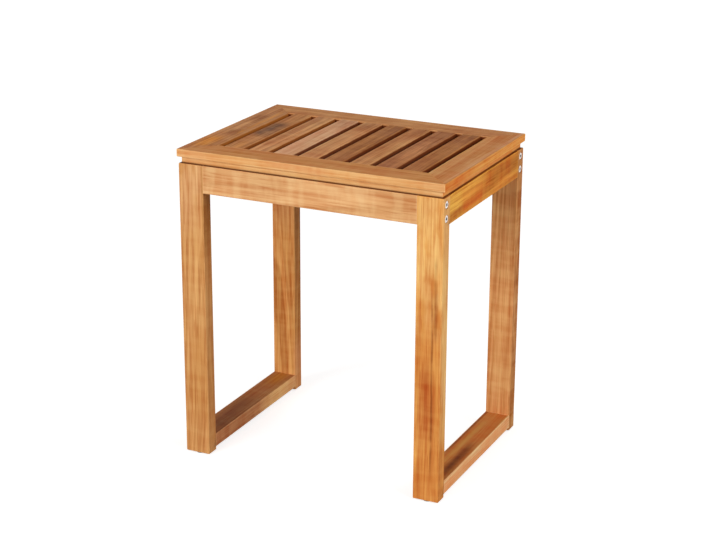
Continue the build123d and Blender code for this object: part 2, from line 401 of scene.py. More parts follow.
@dataclass(frozen=True)
class Streak:
    """A dark streak along a board, at a place across it; a few of them are painted shade.

    Attributes:
        lie: Cross axis of the board that the place is on.
        line: Place on that axis from the middle, in metres.
        width: Half width in metres.
        strength: Share of its colour at its core.
        tone: Its colour.
        begin: Where it begins along the board, from the middle.
        end: Where it ends.
        fade: Length over which it comes and goes.
        sway: How far it wanders sideways.
        broken: How far it breaks up, from 0 to 1.
    """

    lie: Lie
    line: float
    width: float
    strength: float
    tone: Colour
    begin: float = -1.0
    end: float = 1.0
    fade: float = 0.02
    sway: float = 0.004
    broken: float = 1.0


@dataclass(frozen=True)
class TimberFinish:
    """Oiled timber of one board.

    Attributes:
        grain: Which way the grain runs.
        tone: Colours of the board.
        seed: Which stretch of timber it was cut from.
        pith: Where the heart of the tree was, from the middle of the board.
        ring_width: Width of a growth ring in metres.
        wander: How far the rings stray, in metres.
        lean: How fast the pith leaves the line of the board.
        contrast: Share of the ring colour in a ring.
        blotch: Share of the blotch colour in a blotch.
        fibre: Strength of the fine lines.
        curl: Strength of the shimmer across the grain.
        upper: Tint of the faces that look up: painted shade and light, for how the light falls on them.
        gap_shade_line: Height up to which painted shade darkens the walls at the foot of the shadow gap, or 0
            for none.
        slot_lip: Height below which painted shade darkens the walls of the slots, or 0 for none.
        slot_shade_top: Colour of that painted shade just below the lip.
        slot_shade_deep: Colour of that painted shade further down.
        streaks: Streaks along the board.
    """

    grain: Grain
    tone: Tone
    seed: float
    pith: Point = (0.0, 0.045, 0.012)
    ring_width: float = 0.0042
    wander: float = 0.009
    lean: float = 0.03
    contrast: float = 0.95
    blotch: float = 0.75
    fibre: float = 0.75
    curl: float = 0.14
    upper: Colour = (1.0, 1.0, 1.0, 1.0)
    gap_shade_line: float = 0.0
    slot_lip: float = 0.0
    slot_shade_top: Colour = SLOT_SHADE_LIGHT
    slot_shade_deep: Colour = SHADE_BROWN
    streaks: tuple[Streak, ...] = ()

    def material(self, piece: bpy.types.Object, effects: Effects) -> bpy.types.Material:
        """Make the board's own material.

        Args:
            piece: The finished board, whose box gives the middle and the edges.
            effects: The shared effects.

        Returns:
            The material.
        """
        low, high = mesh_box(piece)
        middle = (low + high) / 2
        made = bpy.data.materials.new(f"{piece.name}_timber")
        made.use_nodes = True
        sketch = NodeSketch(made.node_tree)
        shader = made.node_tree.nodes["Principled BSDF"]
        place = sketch.node("ShaderNodeTexCoord").outputs["Object"]
        turned = {"Vector": place, "Location": middle, "Rotation": self.grain.value}
        board = sketch.node("ShaderNodeMapping", turned, vector_type="TEXTURE").outputs[0]

        drawn = {"Place": board, "Pith": self.pith, "Seed": self.seed, "Ring Width": self.ring_width,
                 "Wander": self.wander, "Lean": self.lean}
        figure = effects.figure.place(sketch, drawn)
        rings = sketch.math("MULTIPLY", figure["Rings"], self.contrast)
        colour = sketch.mix(rings, self.tone.pale, self.tone.deep)
        blotch = sketch.math("MULTIPLY", figure["Blotch"], self.blotch)
        colour = sketch.mix(blotch, colour, self.tone.blotch)
        colour = self.streaked(sketch, colour, board, effects)
        dark_fibre = sketch.mix(0.7, colour, self.tone.deep, "MULTIPLY")
        fibre = sketch.math("MULTIPLY", figure["Fibre"], self.fibre)
        colour = sketch.mix(fibre, colour, dark_fibre)
        curl = sketch.math("MULTIPLY", figure["Curl"], self.curl)
        colour = sketch.mix(curl, colour, self.tone.pale, "SCREEN")
        colour = sketch.mix(sketch.math("MULTIPLY", figure["Pores"], 0.55), colour, dark_fibre)

        edge = {"Place": place, "Middle": middle, "Half Size": (high - low) / 2, "Seed": self.seed}
        arris = effects.arris.place(sketch, edge)["Arris"]
        normal = sketch.node("ShaderNodeNewGeometry").outputs["True Normal"]
        # Painted shade and light: faces that look up take the board's upper tint.
        facing_up = sketch.ramp(sketch.split(normal)[2], 0.75, 0.95)
        colour = sketch.mix(facing_up, colour, sketch.mix(1.0, colour, self.upper, "MULTIPLY"))
        # The long edges turn paler: partly rubbed by handling, partly a painted highlight.
        colour = sketch.mix(sketch.math("MULTIPLY", arris, 0.5), colour, self.tone.pale)
        walls = sketch.ramp(sketch.math("ABSOLUTE", sketch.split(normal)[2]), 0.3, 0.6, 0.95, 0.0)
        # Painted shade at the foot of the shadow gap: a dark band low on the walls.
        if self.gap_shade_line:
            _, _, height = sketch.split(place)
            gap_shade = sketch.ramp(height, self.gap_shade_line, self.gap_shade_line + 2.4 * MM, 1.0, 0.0)
            colour = sketch.mix(sketch.math("MULTIPLY", gap_shade, walls), colour, SHADE_BROWN)
        # Painted shade on the slot walls below the lip, darker further down.
        if self.slot_lip:
            drawn = {"Place": place, "Opening": SLOT_OPENING, "Lip": self.slot_lip, "Seed": self.seed}
            slot = effects.slot.place(sketch, drawn)
            slot_shade_colour = sketch.mix(slot["Deep"], self.slot_shade_top, self.slot_shade_deep)
            colour = sketch.mix(sketch.math("MULTIPLY", slot["Shade"], walls), colour, slot_shade_colour)

        scuffs = effects.scuffs.place(sketch, {"Place": place, "Seed": self.seed})["Scuffs"]
        sheen = sketch.ramp(scuffs, 0.3, 0.7, 0.6, 0.78)
        rough = sketch.math("ADD", sheen, sketch.math("MULTIPLY", figure["Pores"], 0.15))
        relief = sketch.math("SUBTRACT", figure["Fibre"], figure["Pores"])
        bump = sketch.node("ShaderNodeBump", {"Height": relief, "Strength": 0.22, "Distance": 0.15 * MM})
        sketch.tree.links.new(colour, shader.inputs["Base Color"])
        sketch.tree.links.new(rough, shader.inputs["Roughness"])
        sketch.tree.links.new(bump.outputs[0], shader.inputs["Normal"])
        shader.inputs["Specular IOR Level"].default_value = 0.08
        return made

    def streaked(self, sketch: NodeSketch, colour: Socket, board: Socket, effects: Effects) -> Socket:
        """Lay the board's streaks over its colour.

        Args:
            sketch: The material's sketch.
            colour: Colour of the board so far.
            board: Place on the board.
            effects: The shared effects.

        Returns:
            The colour with its streaks.
        """
        _, across_y, across_z = sketch.split(board)
        for number, streak in enumerate(self.streaks):
            across = across_y if streak.lie is Lie.Y else across_z
            drawn = {"Place": board, "Across": across, "Line": streak.line, "Width": streak.width,
                     "Begin": streak.begin, "End": streak.end, "Fade": streak.fade, "Sway": streak.sway,
                     "Broken": streak.broken, "Seed": self.seed + 3.3 * number}
            mask = effects.streak.place(sketch, drawn)["Streak"]
            colour = sketch.mix(sketch.math("MULTIPLY", mask, streak.strength), colour, streak.tone)
        return colour


@dataclass(frozen=True)
class SteelFinish:
    """Zinc-plated steel, brushed by the tool that turned it."""

    name: str
    bright: Colour
    dull: Colour
    seed: float

    def material(self, effects: Effects) -> bpy.types.Material:
        """Make the steel.

        Args:
            effects: The shared effects.

        Returns:
            The material.
        """
        made = bpy.data.materials.new(self.name)
        made.use_nodes = True
        sketch = NodeSketch(made.node_tree)
        shader = made.node_tree.nodes["Principled BSDF"]
        place = sketch.node("ShaderNodeTexCoord").outputs["Object"]
        scuffs = effects.scuffs.place(sketch, {"Place": place, "Seed": self.seed})["Scuffs"]
        spots = sketch.ramp(sketch.noise(place, (420.0, 420.0, 420.0), self.seed, 3.0), 0.4, 0.7)
        colour = sketch.mix(spots, self.bright, self.dull)
        rough = sketch.ramp(scuffs, 0.3, 0.7, 0.24, 0.42)
        bump = sketch.node("ShaderNodeBump", {"Height": scuffs, "Strength": 0.15, "Distance": 0.05 * MM})
        sketch.tree.links.new(colour, shader.inputs["Base Color"])
        sketch.tree.links.new(rough, shader.inputs["Roughness"])
        sketch.tree.links.new(bump.outputs[0], shader.inputs["Normal"])
        shader.inputs["Metallic"].default_value = 0.6
        return made


@dataclass(frozen=True)
class GlideFinish:
    """Black polyethylene, greyed where it has slid on a floor."""

    name: str
    black: Colour
    wear_and_shade: Colour
    seed: float

    def material(self, effects: Effects) -> bpy.types.Material:
        """Make the plastic.

        Args:
            effects: The shared effects.

        Returns:
            The material.
        """
        made = bpy.data.materials.new(self.name)
        made.use_nodes = True
        sketch = NodeSketch(made.node_tree)
        shader = made.node_tree.nodes["Principled BSDF"]
        place = sketch.node("ShaderNodeTexCoord").outputs["Object"]
        _, _, height = sketch.split(place)
        scuffs = effects.scuffs.place(sketch, {"Place": place, "Seed": self.seed})["Scuffs"]
        low = sketch.ramp(height, 0.0, 0.8 * MM, 1.0, 0.0)
        wear = sketch.math("MULTIPLY", low, sketch.ramp(scuffs, 0.35, 0.65))
        rough = sketch.ramp(scuffs, 0.3, 0.7, 0.5, 0.72)
        bump = sketch.node("ShaderNodeBump", {"Height": scuffs, "Strength": 0.3, "Distance": 0.08 * MM})
        sketch.tree.links.new(sketch.mix(wear, self.black, self.wear_and_shade), shader.inputs["Base Color"])
        sketch.tree.links.new(rough, shader.inputs["Roughness"])
        sketch.tree.links.new(bump.outputs[0], shader.inputs["Normal"])
        return made


def mesh_box(piece: bpy.types.Object) -> tuple[Vector, Vector]:
    """Find the box of a mesh.

    Args:
        piece: The mesh object.

    Returns:
        Its lowest and its highest corner.
    """
    corners = [Vector(corner) for corner in piece.bound_box]
    low = Vector([min(c[axis] for c in corners) for axis in range(3)])
    high = Vector([max(c[axis] for c in corners) for axis in range(3)])
    return low, high


class Workpiece:
    """A mesh under the modelling tools, from its first block to its finished shape."""

    def __init__(self, name: str) -> None:
        """Take the primitive that was just added and name it.

        Args:
            name: Name of the piece.
        """
        self.body = bpy.context.active_object
        self.body.name = name
        self.body.data.name = name

    @classmethod
    def block(cls, name: str, low: Vector, high: Vector) -> "Workpiece":
        """Start from a sawn block.

        Args:
            name: Name of the piece.
            low: Lowest corner.
            high: Highest corner.

        Returns:
            The block, open in edit mode.
        """
        bpy.ops.object.select_all(action="DESELECT")
        bpy.ops.mesh.primitive_cube_add(size=1.0, location=(low + high) / 2)
        bpy.context.active_object.scale = high - low
        return cls(name).open()

    @classmethod
    def round(cls, name: str, radius: float, height: float, sides: int = 48) -> "Workpiece":
        """Start from a turned disc that stands on the origin.

        Args:
            name: Name of the piece.
            radius: Radius of the disc.
            height: Height of the disc.
            sides: Number of its sides.

        Returns:
            The disc, open in edit mode.
        """
        bpy.ops.object.select_all(action="DESELECT")
        place = (0.0, 0.0, height / 2)
        bpy.ops.mesh.primitive_cylinder_add(vertices=sides, radius=radius, depth=height, location=place)
        return cls(name).open()

    def open(self) -> "Workpiece":
        """Put the place and the size into the mesh and go to edit mode.

        Returns:
            The piece itself.
        """
        bpy.ops.object.transform_apply(location=True, rotation=True, scale=True)
        bpy.ops.object.mode_set(mode="EDIT")
        return self

    def pick_faces(self, test: FaceTest) -> None:
        """Select the faces whose centre and normal pass a test.

        Args:
            test: Test of a face's centre and normal.
        """
        bpy.ops.mesh.select_mode(type="FACE")
        bpy.ops.mesh.select_all(action="DESELECT")
        shape = bmesh.from_edit_mesh(self.body.data)
        for face in shape.faces:
            face.select_set(test(face.calc_center_median(), face.normal))
        bmesh.update_edit_mesh(self.body.data)

    def pick_edges(self, test: EdgeTest, sharp: bool = True) -> None:
        """Select the edges whose two ends pass a test.

        Args:
            test: Test of the two ends.
            sharp: Whether only edges between faces at an angle count.
        """
        bpy.ops.mesh.select_mode(type="EDGE")
        bpy.ops.mesh.select_all(action="DESELECT")
        shape = bmesh.from_edit_mesh(self.body.data)
        for edge in shape.edges:
            corner = edge.calc_face_angle(0.0) > 0.9 or not sharp
            edge.select_set(corner and test(edge.verts[0].co, edge.verts[1].co))
        bmesh.update_edit_mesh(self.body.data)

    def cut(self, point: Vector, normal: Vector, waste: bool = False) -> None:
        """Cut through the whole piece with a plane.

        Args:
            point: A point of the plane.
            normal: Its normal.
            waste: Whether what lies beyond the plane goes, and the cut is closed.
        """
        bpy.ops.mesh.select_all(action="SELECT")
        bpy.ops.mesh.bisect(plane_co=point, plane_no=normal, use_fill=waste, clear_outer=waste)

    def extrude(self, move: Vector) -> None:
        """Extrude what is selected."""
        bpy.ops.mesh.extrude_region_move(TRANSFORM_OT_translate={"value": move})

    def ease(self, width: float, test: EdgeTest, segments: int = 3) -> None:
        """Round the corner edges that pass a test.

        Args:
            width: Width of the rounding.
            test: Test of an edge's two ends.
            segments: Facets of the rounding.
        """
        self.pick_edges(test)
        bpy.ops.mesh.bevel(offset=width, segments=segments, profile=0.5, affect="EDGES")

    def bore(self, radius: float, mouth: Vector, inward: Vector) -> None:
        """Bore a flat-bottomed pocket into the piece.

        Args:
            radius: Radius of the pocket.
            mouth: Middle of its mouth.
            inward: From the mouth to the floor of the pocket.
        """
        bpy.ops.object.mode_set(mode="OBJECT")
        bpy.ops.object.select_all(action="DESELECT")
        spare = inward.normalized() * MM
        middle = mouth + (inward - spare) / 2
        turn = inward.to_track_quat("Z", "Y").to_euler()
        depth = (inward + spare).length
        bpy.ops.mesh.primitive_cylinder_add(vertices=48, radius=radius, depth=depth, location=middle,
                                            rotation=turn)
        cutter = bpy.context.active_object
        bpy.context.view_layer.objects.active = self.body
        pocket = self.body.modifiers.new("pocket", "BOOLEAN")
        pocket.operation = "DIFFERENCE"
        pocket.solver = "EXACT"
        pocket.object = cutter
        bpy.ops.object.modifier_apply(modifier=pocket.name)
        bpy.data.objects.remove(cutter)
        bpy.ops.object.mode_set(mode="EDIT")

    def close(self) -> bpy.types.Object:
        """Merge doubles, point the faces outwards and shade the roundings.

        Returns:
            The finished mesh object, back in object mode.
        """
        bpy.ops.mesh.select_all(action="SELECT")
        bpy.ops.mesh.remove_doubles(threshold=0.002 * MM)
        bpy.ops.mesh.normals_make_consistent(inside=False)
        bpy.ops.object.mode_set(mode="OBJECT")
        bpy.ops.object.select_all(action="DESELECT")
        self.body.select_set(True)
        bpy.context.view_layer.objects.active = self.body
        bpy.ops.object.shade_smooth_by_angle(angle=math.radians(40))
        weighted = self.body.modifiers.new("flat_faces", "WEIGHTED_NORMAL")
        weighted.keep_sharp = True
        bpy.ops.object.modifier_apply(modifier=weighted.name)
        return self.body


def hand_over(piece: bpy.types.Object, node: str, material: bpy.types.Material) -> None:
    """Dress a finished piece, hang it on the stool and let it stand for its solid.

    Args:
        piece: The finished piece.
        node: The solid's name.
        material: The piece's material.
    """
    piece.data.materials.clear()
    piece.data.materials.append(material)
    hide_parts(node)
    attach(piece, "root")
    log.info("%s: %d faces", piece.name, len(piece.data.polygons))


@dataclass(frozen=True)
class ScrewPlan:
    """Sizes of a hex-socket screw.

    Attributes:
        diameter: Diameter of the shank.
        length: Length under the head.
        head_diameter: Diameter of the head.
        head_height: Height of the head.
        socket_width: Width of the socket across its flats.
        socket_depth: Depth of the socket.
        point: Length of the point.
    """

    diameter: float
    length: float
    head_diameter: float
    head_height: float
    socket_width: float
    socket_depth: float
    point: float = 5.0 * MM

    def model(self, name: str) -> bpy.types.Object:
        """Model the screw along Z, with the seat of its head on the origin and its head above.

        Args:
            name: Name of the model.

        Returns:
            The finished mesh object.
        """
        rim = self.head_diameter / 2
        top = self.head_height
        screw = Workpiece.round(name, rim, top)
        screw.pick_faces(lambda centre, normal: normal.z > 0.9)
        bpy.ops.mesh.delete(type="ONLY_FACE")
        corner = self.socket_width / math.sqrt(3)
        bpy.ops.mesh.primitive_circle_add(vertices=6, radius=corner, location=(0.0, 0.0, top))
        screw.pick_edges(lambda a, b: min(a.z, b.z) > top - NEAR, sharp=False)
        bpy.ops.mesh.bridge_edge_loops()
        screw.pick_edges(lambda a, b: max(a.xy.length, b.xy.length) < corner + NEAR, sharp=False)
        bpy.ops.mesh.extrude_edges_move(TRANSFORM_OT_translate={"value": (0.0, 0.0, -self.socket_depth)})
        bpy.ops.mesh.edge_face_add()
        screw.pick_faces(lambda centre, normal: normal.z < -0.9 and centre.z < NEAR)
        bpy.ops.mesh.inset(thickness=rim - self.diameter / 2)
        screw.extrude(Vector((0.0, 0.0, self.point - self.length)))
        screw.extrude(Vector((0.0, 0.0, -self.point)))
        bpy.ops.mesh.merge(type="CENTER")
        screw.ease(0.35 * MM, lambda a, b: min(a.xy.length, b.xy.length) > rim - 0.1 * MM and a.z > 0.5 * top)
        return screw.close()


@dataclass
class ScrewSet:
    """All screws of one kind, each at its own station.

    Attributes:
        node: The solids' name.
        slot: The record's material slot; not used.
        plan: Sizes of the screw.
        finish: Its steel.
        stations: Where the seat of each head is, and which way the head faces.
    """

    node: str
    slot: str
    plan: ScrewPlan
    finish: SteelFinish
    stations: list[tuple[Vector, Vector]]

    def build(self, effects: Effects) -> None:
        """Model one screw and put a copy at each station.

        Args:
            effects: The shared effects.
        """
        material = self.finish.material(effects)
        pattern = self.plan.model(f"{self.node}_pattern")
        for number, (seat, facing) in enumerate(self.stations, start=1):
            bpy.ops.object.select_all(action="DESELECT")
            pattern.select_set(True)
            bpy.context.view_layer.objects.active = pattern
            bpy.ops.object.duplicate(linked=False)
            screw = bpy.context.active_object
            screw.name = f"{self.node}_{number}"
            screw.data.name = screw.name
            screw.rotation_euler = facing.to_track_quat("Z", "Y").to_euler()
            screw.location = seat
            bpy.ops.object.transform_apply(location=True, rotation=True, scale=True)
            hand_over(screw, self.node, material)
        bpy.data.objects.remove(pattern)


@dataclass
class SideFrame:
    """A loop of four boards at one side: two legs, a floor rail and a side apron.

    Attributes:
        side: Name of the side.
        legs: Finish of each leg, by its end.
        rail: Finish of the floor rail.
        apron: Finish of the side apron.
        ease: Rounding of the free edges.
        screw_pocket: Radius of the pocket of an apron screw.
        screw_recess: How deep that pocket is.
        seat_pocket: Radius of the pocket of a seat screw.
        seat_recess: How deep that pocket is.
    """

    side: str
    legs: dict[str, TimberFinish]
    rail: TimberFinish
    apron: TimberFinish
    ease: float = 1.0 * MM
    screw_pocket: float = 5.5 * MM
    screw_recess: float = 4.4 * MM
    seat_pocket: float = 5.0 * MM
    seat_recess: float = 19.0 * MM

    def build(self, effects: Effects, screws: list[Vector], seat_screws: list[Vector]) -> None:
        """Build the four boards.

        Args:
            effects: The shared effects.
            screws: Where the heads of the apron screws are.
            seat_screws: Where the heads of the seat screws are.
        """
        for end in ENDS:
            self.build_leg(effects, end, screws)
        self.build_rail(effects)
        self.build_apron(effects, seat_screws)

    def between_legs(self, node: str) -> tuple[Vector, Vector]:
        """Find the box of a board without its tenons, which are in the legs.

        Args:
            node: The board's solid.

        Returns:
            The lowest and the highest corner.
        """
        low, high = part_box(node)
        low.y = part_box(f"front_{self.side}_leg")[1].y
        high.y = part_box(f"rear_{self.side}_leg")[0].y
        return low, high

    def build_leg(self, effects: Effects, end: str, screws: list[Vector]) -> None:
        """Build a leg, whose edges are rounded where they are free and tight where a board joins it.

        Args:
            effects: The shared effects.
            end: Name of the leg's end.
            screws: Where the heads of the apron screws are.
        """
        node = f"{end}_{self.side}_leg"
        low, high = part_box(node)
        rail_low, rail_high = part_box(f"{self.side}_floor_rail")
        apron_low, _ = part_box(f"{self.side}_side_apron")
        outer_x = high.x if SIDES[self.side] > 0 else low.x
        outer_y = high.y if ENDS[end] > 0 else low.y
        leg = Workpiece.block(node.replace("_leg", "_leg_board"), low, high)
        for level in (rail_low.z, rail_high.z, apron_low.z):
            leg.cut(Vector((0.0, 0.0, level)), Vector((0.0, 0.0, 1.0)))

        def joined(a: Vector, b: Vector) -> bool:
            """Tell whether another board meets this edge flush.

            Args:
                a: One end of the edge.
                b: The other end.

            Returns:
                Whether the edge stays tight.
            """
            middle = (a + b) / 2
            if abs(a.z - b.z) < NEAR:
                return False
            free_x = abs(middle.x - outer_x) < NEAR
            free_y = abs(middle.y - outer_y) < NEAR
            by_rail = rail_low.z < middle.z < rail_high.z
            by_apron = middle.z > apron_low.z
            return (by_rail and not free_y) or (by_apron and not (free_x and free_y))

        leg.ease(self.ease, lambda a, b: not joined(a, b))
        for head in screws:
            inside = low.y < head.y < high.y and low.x < head.x < high.x + self.screw_recess
            if inside:
                mouth = Vector((outer_x, head.y, head.z))
                leg.bore(self.screw_pocket, mouth, Vector((-SIDES[self.side] * self.screw_recess, 0.0, 0.0)))
        piece = leg.close()
        hand_over(piece, node, self.legs[end].material(piece, effects))

    def build_rail(self, effects: Effects) -> None:
        """Build the floor rail, lying flat between the legs.

        Args:
            effects: The shared effects.
        """
        node = f"{self.side}_floor_rail"
        low, high = self.between_legs(node)
        rail = Workpiece.block(f"{node}_board", low, high)
        rail.ease(self.ease, lambda a, b: abs(a.y - b.y) > NEAR)
        piece = rail.close()
        hand_over(piece, node, self.rail.material(piece, effects))

    def build_apron(self, effects: Effects, seat_screws: list[Vector]) -> None:
        """Build the side apron, with a deep pocket below for each seat screw.

        Args:
            effects: The shared effects.
            seat_screws: Where the heads of the seat screws are.
        """
        node = f"{self.side}_side_apron"
        low, high = self.between_legs(node)
        apron = Workpiece.block(f"{node}_board", low, high)
        apron.ease(self.ease, lambda a, b: abs(a.y - b.y) > NEAR)
        for head in seat_screws:
            if low.x < head.x < high.x:
                mouth = Vector((head.x, head.y, low.z))
                apron.bore(self.seat_pocket, mouth, Vector((0.0, 0.0, self.seat_recess)))
        piece = apron.close()
        hand_over(piece, node, self.apron.material(piece, effects))


@dataclass
class LongApron:
    """Front or rear board between the side frames."""

    end: str
    finish: TimberFinish
    ease: float = 1.0 * MM

    def build(self, effects: Effects) -> None:
        """Build the board.

        Args:
            effects: The shared effects.
        """
        node = f"{self.end}_apron"
        low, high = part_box(node)
        apron = Workpiece.block(f"{node}_board", low, high)
        apron.ease(self.ease, lambda a, b: abs(a.x - b.x) > NEAR)
        piece = apron.close()
        hand_over(piece, node, self.finish.material(piece, effects))


@dataclass
class SeatPanel:
    """The mitred, slatted seat.

    Attributes:
        members: Finish of each border board, by its name.
        slats: Finish of each slat, from the left.
        gap_height: Height of the shadow gap under the edge.
        gap_depth: Depth of that gap.
        edge_ease: Rounding of the outer edges.
        slat_ease: Rounding of the edges along the slots.
    """

    members: dict[str, TimberFinish]
    slats: list[TimberFinish]
    gap_height: float = 9.0 * MM
    gap_depth: float = 5.0 * MM
    edge_ease: float = 1.2 * MM
    slat_ease: float = 1.4 * MM

    def build(self, effects: Effects) -> None:
        """Build the border boards and the slats.

        Args:
            effects: The shared effects.
        """
        for name, finish in self.members.items():
            self.build_member(effects, name, finish)
        for number, finish in enumerate(self.slats, start=1):
            self.build_slat(effects, number, finish)

    def build_member(self, effects: Effects, name: str, finish: TimberFinish) -> None:
        """Build a border board: a thin edge over the shadow gap, thickened behind it, and mitred.

        Args:
            effects: The shared effects.
            name: Which board it is.
            finish: Its timber.
        """
        node = f"seat_{name}_member"
        low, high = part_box(node)
        side, end = SIDES.get(name, 0), ENDS.get(name, 0)
        outward = Vector((side, end, 0.0))
        along = Vector((abs(end), abs(side), 0.0))
        outer = max(outward.dot(low), outward.dot(high))
        inner = min(outward.dot(low), outward.dot(high))
        reach = max(along.dot(low), along.dot(high))
        upper_low = Vector((low.x, low.y, low.z + self.gap_height))
        member = Workpiece.block(f"{node}_board", upper_low, high)
        gap_wall = outward * (outer - self.gap_depth)
        member.cut(gap_wall, outward)
        member.pick_faces(lambda centre, normal: normal.z < -0.9 and outward.dot(centre) < outward.dot(gap_wall))
        member.extrude(Vector((0.0, 0.0, -self.gap_height)))
        for sign in (-1, 1):
            corner = outward * outer + along * (sign * reach)
            member.cut(corner, along * sign - outward, waste=True)
        slot_side = self.slat_ease if side else 2 * HAIRLINE

        def mitred(a: Vector, b: Vector) -> bool:
            """Tell whether an edge is on a mitre."""
            return abs(along.dot(b - a)) < 0.9 * (b - a).length

        member.ease(HAIRLINE, lambda a, b: mitred(a, b) and min(a.z, b.z) > high.z - NEAR, segments=1)
        member.ease(self.edge_ease, lambda a, b: not mitred(a, b) and outward.dot(a) > outer - NEAR)
        member.ease(slot_side, lambda a, b: not mitred(a, b) and outward.dot(a) < inner + NEAR)
        piece = member.close()
        hand_over(piece, node, finish.material(piece, effects))

    def build_slat(self, effects: Effects, number: int, finish: TimberFinish) -> None:
        """Build a slat, whose tongues are hidden in the border.

        Args:
            effects: The shared effects.
            number: Its number from the left.
            finish: Its timber.
        """
        node = f"seat_slat_{number}"
        low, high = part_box(node)
        low.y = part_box("seat_front_member")[1].y
        high.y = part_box("seat_rear_member")[0].y
        slat = Workpiece.block(f"{node}_board", low, high)
        slat.ease(self.slat_ease, lambda a, b: abs(a.y - b.y) > NEAR)
        slat.ease(HAIRLINE, lambda a, b: abs(a.y - b.y) < NEAR and abs(a.x - b.x) > 20 * MM, segments=1)
        piece = slat.close()
        hand_over(piece, node, finish.material(piece, effects))


@dataclass
class FootGlides:
    """The four round glides under the legs."""

    finish: GlideFinish
    diameter: float = 16.0 * MM
    thickness: float = 2.0 * MM
    taper: float = 0.6 * MM
    rim: float = 2.0 * MM
    hollow: float = 0.4 * MM

    def build(self, effects: Effects) -> None:
        """Model one glide and put a copy under each leg.

        Args:
            effects: The shared effects.
        """
        material = self.finish.material(effects)
        glide = Workpiece.round("glide_pattern", self.diameter / 2, self.thickness)
        glide.pick_faces(lambda centre, normal: normal.z < -0.9)
        foot = 1 - 2 * self.taper / self.diameter
        bpy.ops.transform.resize(value=(foot, foot, 1.0))
        bpy.ops.mesh.inset(thickness=self.rim)
        glide.extrude(Vector((0.0, 0.0, self.hollow)))
        glide.ease(0.25 * MM, lambda a, b: max(a.z, b.z) < 0.1 * MM and a.xy.length > 7 * MM, segments=2)
        pattern = glide.close()
        for side in SIDES:
            for end in ENDS:
                low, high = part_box(f"{end}_{side}_leg")
                bpy.ops.object.select_all(action="DESELECT")
                pattern.select_set(True)
                bpy.context.view_layer.objects.active = pattern
                bpy.ops.object.duplicate(linked=False)
                copy = bpy.context.active_object
                copy.name = f"{end}_{side}_glide"
                copy.data.name = copy.name
                copy.location = ((low.x + high.x) / 2, (low.y + high.y) / 2, 0.0)
                bpy.ops.object.transform_apply(location=True, rotation=True, scale=True)
                hand_over(copy, "foot_glides", material)
        bpy.data.objects.remove(pattern)


@dataclass
class MitreTongues:
    """The loose tongues in the mitres, which keep their solids and get a dry timber."""

    finish: TimberFinish

    def build(self, effects: Effects) -> None:
        """Dress the solids.

        Args:
            effects: The shared effects.
        """
        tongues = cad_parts["mitre_tongues"]
        material = self.finish.material(tongues, effects)
        for place in tongues.material_slots:
            place.material = material
        log.info("mitre_tongues: dressed")


